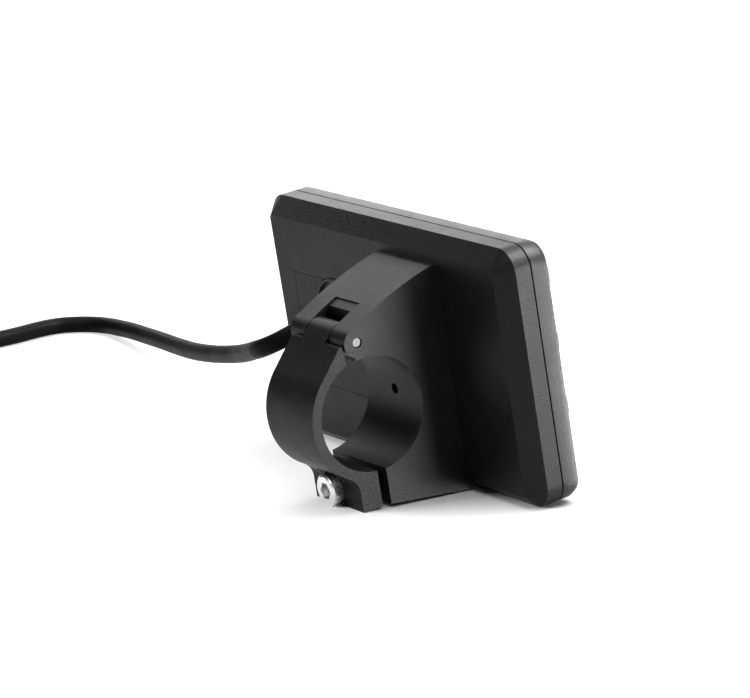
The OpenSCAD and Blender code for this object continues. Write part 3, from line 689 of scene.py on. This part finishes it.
def sharpen_arm_foot(piece):
    """Draws the fillet between arm and back face tight, because the photograph shows hardly any."""
    back = TIP.inverted()
    low, high = -ARC_END, ARM_FILLET + ARC_END
    for vertex in piece.data.vertices:
        x, y, z = back @ vertex.co / MM
        side = math.copysign(1, x)
        off_x, off_y = abs(x) - ARM_HALF, CASE_BACK - y
        from_arc = math.hypot(off_x - ARM_FILLET, off_y - ARM_FILLET) - ARM_FILLET
        if abs(from_arc) < ARC_GAP and low < off_x < high and low < off_y < high:
            vertex.co = at(side * (ARM_HALF + FOOT_SHARE * off_x), CASE_BACK - FOOT_SHARE * off_y, z)


sharpen_arm_foot(dressed("rear_housing", CASE_EDGE))
for node, width in EDGES.items():
    dressed(node, width)


# Clamp screw

HEAD_STEPS = 120
HEAD_CHAMFER = 0.45
HEAD_FOOT = 0.3
HEAD_SOFT = 0.12
KNURL_DEEP = 0.13
KNURL_STOP = 0.1
SOCKET_MOUTH = 0.25
SOCKET_MOUTH_DEEP = 0.2
SOCKET_FOOT = 0.05
SOCKET_FOOT_IN = 0.3
DRILL_TIP = 0.5
DRILL_R = 0.02
THREAD_STEPS = 40
THREAD_ROWS = 96
THREAD_DEEP = 0.25
THREAD_HIGH = 0.45
PLAIN_RISE = 0.1
THREAD_STARTS_OVER = 6
THREAD_ENDS_OVER = 4
SCREW_SMOOTH = 26.0


def hexagon_r(angle, af):
    """Distance from the centre to a hexagon's edge."""
    part = (angle % (math.pi / 3)) - math.pi / 6
    return af / 2 / math.cos(part)


def head_mesh():
    """Knurled head with its hexagon socket, up from the shoulder at Z = 0."""
    socket = SOCKET_AF / 2
    face_r = HEAD_R - HEAD_CHAMFER
    floor_z = HEAD_H - SOCKET_DEEP
    profile = [(0.0, SHANK_R + HEAD_FOOT, "round"), (0.0, HEAD_R - HEAD_FOOT, "round"),
               (HEAD_FOOT, HEAD_R, "knurl"), (HEAD_H - HEAD_CHAMFER - KNURL_STOP, HEAD_R, "knurl"),
               (HEAD_H - HEAD_CHAMFER, HEAD_R, "round"),
               (HEAD_H - HEAD_SOFT, face_r + HEAD_SOFT / 2, "round"),
               (HEAD_H, face_r - KNURL_STOP, "round"), (HEAD_H, socket + SOCKET_MOUTH, "hexagon"),
               (HEAD_H - SOCKET_MOUTH_DEEP, socket, "hexagon"), (floor_z, socket, "hexagon"),
               (floor_z - SOCKET_FOOT, socket - SOCKET_FOOT_IN, "round"),
               (floor_z - DRILL_TIP, DRILL_R, "round")]
    points, faces = [], []
    for along, r, kind in profile:
        for k in range(HEAD_STEPS):
            a = 2 * math.pi * k / HEAD_STEPS
            here = r
            if kind == "knurl":
                here = r - KNURL_DEEP * (k % 2)
            if kind == "hexagon":
                here = hexagon_r(a, 2 * r)
            points.append((here * math.cos(a), here * math.sin(a), along))
    for i in range(len(profile) - 1):
        join_rings(faces, i * HEAD_STEPS, (i + 1) * HEAD_STEPS, HEAD_STEPS)
    faces.append(list(range((len(profile) - 1) * HEAD_STEPS, len(profile) * HEAD_STEPS)))
    return points, faces


def add_shank(points, faces):
    """Adds the threaded shank, down from Z = 0."""
    base = len(points)
    for i in range(THREAD_ROWS + 1):
        along = -SHANK_L * i / THREAD_ROWS
        for k in range(THREAD_STEPS):
            a = 2 * math.pi * k / THREAD_STEPS
            phase = (along / THREAD_PITCH + a / (2 * math.pi)) % 1
            crest = 1 - abs(2 * phase - 1)
            fade = min(1, i / THREAD_STARTS_OVER) * min(1, (THREAD_ROWS - i) / THREAD_ENDS_OVER)
            r = SHANK_R - THREAD_DEEP + THREAD_HIGH * crest * fade + PLAIN_RISE * (1 - fade)
            points.append((r * math.cos(a), r * math.sin(a), along))
    for i in range(THREAD_ROWS):
        join_rings(faces, base + (i + 1) * THREAD_STEPS, base + i * THREAD_STEPS, THREAD_STEPS)
    faces.append([base + THREAD_ROWS * THREAD_STEPS + k for k in range(THREAD_STEPS)][::-1])


def make_screw():
    points, faces = head_mesh()
    add_shank(points, faces)
    place = outward_place(0, -LUG_FACE, SCREW_Z)
    piece = add("socket_screw", points, faces, "screw", "screw", place, SCREW_SMOOTH)
    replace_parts(piece, "clamp_screw")
    return piece


screw_head = make_screw()
screw_glint = softbox("screw_glint", place=(0.8, 0.2, 0.02), aim=(0, 0, -0.02), size=(0.25, 0.25), power=2.4)
only(screw_glint, screw_head)


# Lead outlet: dished grommet with a raised rim and a short strain relief

GLAND_STEPS = 96
LEAD_GAP = 0.05
# How far each rounding reaches from its corner, and how far its middle point lies from it
RIM_SOFT, RIM_SOFT_MID = 0.3, 0.09
DISH_SOFT, DISH_SOFT_MID = 0.35, 0.1
ROOT_SOFT, ROOT_SOFT_MID = 0.5, 0.12
TIP_BACK, TIP_BACK_MID = 0.5, 0.15
TIP_IN, TIP_IN_MID = 0.35, 0.1


def make_gland():
    root, tip = BOOT_ROOT_R, LEAD_R + BOOT_TIP_T
    wall = RIM_R - RIM_W
    hole = LEAD_R + LEAD_GAP
    under = -DISH - GROMMET_T
    profile = [(-NECK_DEEP, hole), (-NECK_DEEP, NECK_R), (under, NECK_R), (under, RIM_R)]
    profile += [(RIM_OUT - RIM_SOFT, RIM_R), (RIM_OUT - RIM_SOFT_MID, RIM_R - RIM_SOFT_MID),
                (RIM_OUT, RIM_R - RIM_SOFT), (RIM_OUT, wall + RIM_SOFT),
                (RIM_OUT - RIM_SOFT_MID, wall + RIM_SOFT_MID), (RIM_OUT - RIM_SOFT, wall)]
    profile += [(-DISH + DISH_SOFT, wall), (-DISH + DISH_SOFT_MID, wall - DISH_SOFT_MID),
                (-DISH, wall - DISH_SOFT)]
    profile += [(-DISH, root + ROOT_SOFT), (-DISH + ROOT_SOFT_MID, root + ROOT_SOFT_MID),
                (-DISH + ROOT_SOFT, root)]
    profile += [(BOOT_L - TIP_BACK, tip), (BOOT_L - TIP_BACK_MID, tip - TIP_IN_MID),
                (BOOT_L, tip - TIP_IN), (BOOT_L, hole), (-NECK_DEEP, hole)]
    points, faces = lathe(profile, GLAND_STEPS)
    place = outward_place(OUTLET[0], CASE_BACK, OUTLET[1])
    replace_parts(add("outlet_boot", points, faces, "gland", "case", place), "outlet_gland")


make_gland()


# Keys with plain raised signs

KEYS = (("button_up", 1, "up_key"), ("button_power", 0, "power_key"), ("button_down", -1, "down_key"))
KEY_EDGE = 0.25
KEY_SHARP = 35.0
SIGN_L = 2.2
SIGN_W = 0.5
SIGN_T = 0.15
SIGN_CORNER = 0.2
SIGN_SUNK = 0.05
SIGN_INSET = 0.06
SIGN_STEPS = 5
RING_IN = 0.75
RING_OUT = 1.2
RING_SLOPE = 0.03
RING_EDGE = 0.1
RING_STEPS = 48


def bar_mesh(width, height):
    """Points and faces of a rounded flat bar standing on Z = 0, centred on X and Y."""
    outline = rounded_outline(width, height, SIGN_CORNER, SIGN_STEPS)
    n = len(outline)
    share = 1 - SIGN_INSET
    points = [(x, y, -SIGN_SUNK) for x, y in outline] + [(x, y, SIGN_T - SIGN_INSET) for x, y in outline]
    points += [(x * share, y * share, SIGN_T) for x, y in outline]
    faces = [list(range(n))[::-1], list(range(2 * n, 3 * n))]
    for row in range(2):
        join_rings(faces, row * n, (row + 1) * n, n)
    return points, faces


def ring_mesh():
    """Points and faces of a flat ring with sloped edges."""
    profile = [(-SIGN_SUNK, RING_IN), (SIGN_T - RING_SLOPE, RING_IN + RING_SLOPE),
               (SIGN_T, RING_IN + RING_EDGE), (SIGN_T, RING_OUT - RING_EDGE),
               (SIGN_T - RING_SLOPE, RING_OUT - RING_SLOPE), (-SIGN_SUNK, RING_OUT), (-SIGN_SUNK, RING_IN)]
    return lathe(profile, RING_STEPS)


def key_place(place):
    """Own axes on top of a key, with Z pointing out of the front and Y up the case."""
    top = Matrix.Translation((BUTTON_X, FRONT_Y + BUTTON_PROUD, BUTTON_Z + place * BUTTON_PITCH))
    return CLAMP_AXES @ top @ Matrix.Rotation(-QUARTER, 4, "X") @ Matrix.Rotation(math.pi, 4, "Z")


def make_keys():
    for node, place, body in KEYS:
        dressed(node, KEY_EDGE, KEY_SHARP)
        where = key_place(place)
        if node != "button_power":
            add(node + "_dash", *bar_mesh(SIGN_L, SIGN_W), "plate", body, where)
        if node == "button_up":
            add(node + "_upright", *bar_mesh(SIGN_W, SIGN_L), "plate", body, where)
        if node == "button_power":
            add(node + "_ring", *ring_mesh(), "plate", body, where)


make_keys()


# Black print behind the window, with the display showing through its opening

# Width, height and corner radius
PRINT_OUTER = (93.0, 59.0, 3.6)
PRINT_INNER = (80.0, 47.0, 1.5)
PRINT_GAP = 0.02
PRINT_T = 0.05
PRINT_STEPS = 8


def make_mask():
    front = FRONT_Y - LENS_T - PRINT_GAP
    back = front - PRINT_T
    points, faces = [], []
    for size, y in ((PRINT_OUTER, front), (PRINT_INNER, front), (PRINT_INNER, back), (PRINT_OUTER, back)):
        points += [(LENS_X + x, y, LENS_Z + z) for x, z in rounded_outline(*size, PRINT_STEPS)]
    n = len(points) // 4
    for row in range(4):
        join_rings(faces, row * n, (row + 1) % 4 * n, n)
    add("window_print", points, faces, "plate", "case")


make_mask()


# Tie and plug, in millimetres in the row frame

TIE_T = 0.6
TIE_CORNER = 2.2
TIE_LEAST_CORNER = 0.3
TIE_STEPS = 8
TIE_EDGE = 0.25
TIE_EDGE_SHARE = 0.988
TIE_SMOOTH = 35.0

PLUG_STEPS = 64
PLUG_WALL = 0.7
START_FACE_SHARE = 0.5
START_SOFT_IN = 0.3
START_SOFT_MID = (0.15, 0.08)
RELIEF_FROM = 0.4
RELIEF_RUN = 7.2
RELIEF_END = 8.0
RELIEF_STEP = 0.6
RIBS = 4
RIB_DIP = 0.5
# Places along a rib, with the dip's share there
RIB_POINTS = ((0.05, 0), (0.5, 0), (0.62, 1), (0.93, 1))
SHOULDER_SOFT = 0.25
SHOULDER_SOFT_IN = 0.2
GROOVE_FROM = 13.0
GROOVE_TO = 14.5
GROOVE_SLOPE = 0.3
GROOVE_DEEP = 0.35
MOULDING_L = 24.0
END_SOFT = 0.4
END_SOFT_IN = 0.35
END_HOLE_R = 0.3
COLLAR_FROM = 18.0
COLLAR_TO = 30.0
COLLAR_IN_R = 5.4
COLLAR_EDGE = 0.3
COLLAR_EDGE_DEEP = 0.25
COLLAR_STEPS = 144
GRIP_FROM = 19.4
GRIP_TO = 28.0
GRIP_RUN = 0.4
GRIP_DEEP = 0.16
GRIP_WAVES = 12
PIN_EDGE = 0.2


def make_tie():
    low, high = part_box("coil_tie")
    low, high = low / MM, high / MM
    mid_x, mid_z = (low.x + high.x) / 2, (low.z + high.z) / 2
    across = [low.y, low.y + TIE_EDGE, (low.y + high.y) / 2, high.y - TIE_EDGE, high.y]
    rows = len(across)
    points, faces = [], []
    for inset, edge_share in ((0.0, TIE_EDGE_SHARE), (TIE_T, 1.0)):
        corner = max(TIE_CORNER - inset, TIE_LEAST_CORNER)
        ring = rounded_outline(high.x - low.x - 2 * inset, high.z - low.z - 2 * inset, corner, TIE_STEPS)
        for i, y in enumerate(across):
            share = edge_share if i in (0, rows - 1) else 1.0
            points += [(mid_x + x * share, y, mid_z + z * share) for x, z in ring]
    n = len(ring)
    for i in range(rows - 1):
        join_rings(faces, (i + 1) * n, i * n, n)
    for i in range(rows, 2 * rows - 1):
        join_rings(faces, i * n, (i + 1) * n, n)
    for i in (0, rows - 1):
        join_rings(faces, i * n, (rows + i) * n, n)
    piece = add("coil_band", points, faces, "tie", "case", Matrix.Scale(MM, 4), TIE_SMOOTH)
    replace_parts(piece, "coil_tie")
    return piece


def plug_place():
    """Own axes at the plug's start, with Z pointing along it."""
    return Matrix.Scale(MM, 4) @ Matrix.Translation(out_point(1)) @ Matrix.Rotation(QUARTER, 4, "X")


def moulding_mesh():
    """Ribbed strain relief and plain body with one groove."""
    core = PLUG_R - PLUG_WALL
    start = LEAD_R + BOOT_TIP_T
    relief_r = core - RELIEF_STEP
    soft_at, soft_in = START_SOFT_MID
    profile = [(0.0, LEAD_R * START_FACE_SHARE), (0.0, start - START_SOFT_IN), (soft_at, start - soft_in)]
    for i in range(RIBS):
        for share, dip in RIB_POINTS:
            s = (i + share) / RIBS
            profile.append((RELIEF_FROM + RELIEF_RUN * s, start + (relief_r - start) * s - RIB_DIP * dip))
    profile += [(RELIEF_END, relief_r), (RELIEF_END, core - SHOULDER_SOFT_IN),
                (RELIEF_END + SHOULDER_SOFT, core), (GROOVE_FROM, core),
                (GROOVE_FROM + GROOVE_SLOPE, core - GROOVE_DEEP),
                (GROOVE_TO - GROOVE_SLOPE, core - GROOVE_DEEP), (GROOVE_TO, core),
                (MOULDING_L - END_SOFT, core), (MOULDING_L, core - END_SOFT_IN), (MOULDING_L, END_HOLE_R)]
    points, faces = lathe(profile, PLUG_STEPS)
    faces.append(list(range((len(profile) - 1) * PLUG_STEPS, len(profile) * PLUG_STEPS)))
    faces.append(list(range(PLUG_STEPS))[::-1])
    return points, faces


def grip(r, along, angle):
    """Radius of the collar, with its grip between two rings."""
    if GRIP_FROM <= along <= GRIP_TO:
        return r - GRIP_DEEP * (1 - abs(math.sin(GRIP_WAVES * angle)))
    return r


def make_plug():
    body = add("plug_moulding", *moulding_mesh(), "plug", "case", plug_place())
    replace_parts(body, "plug_body")
    profile = [(COLLAR_FROM, COLLAR_IN_R), (COLLAR_FROM, PLUG_R - COLLAR_EDGE_DEEP),
               (COLLAR_FROM + COLLAR_EDGE, PLUG_R), (GRIP_FROM - GRIP_RUN, PLUG_R), (GRIP_FROM, PLUG_R),
               (GRIP_TO, PLUG_R), (GRIP_TO + GRIP_RUN, PLUG_R), (COLLAR_TO - COLLAR_EDGE, PLUG_R),
               (COLLAR_TO, PLUG_R - COLLAR_EDGE_DEEP), (COLLAR_TO, COLLAR_IN_R), (COLLAR_FROM, COLLAR_IN_R)]
    points, faces = lathe(profile, COLLAR_STEPS, grip)
    collar = add("plug_lock_ring", points, faces, "plug_collar", "case", plug_place())
    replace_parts(collar, "plug_collar")
    return body, collar, dressed("plug_pins", PIN_EDGE)


band = make_tie()
plug, collar, pins = make_plug()
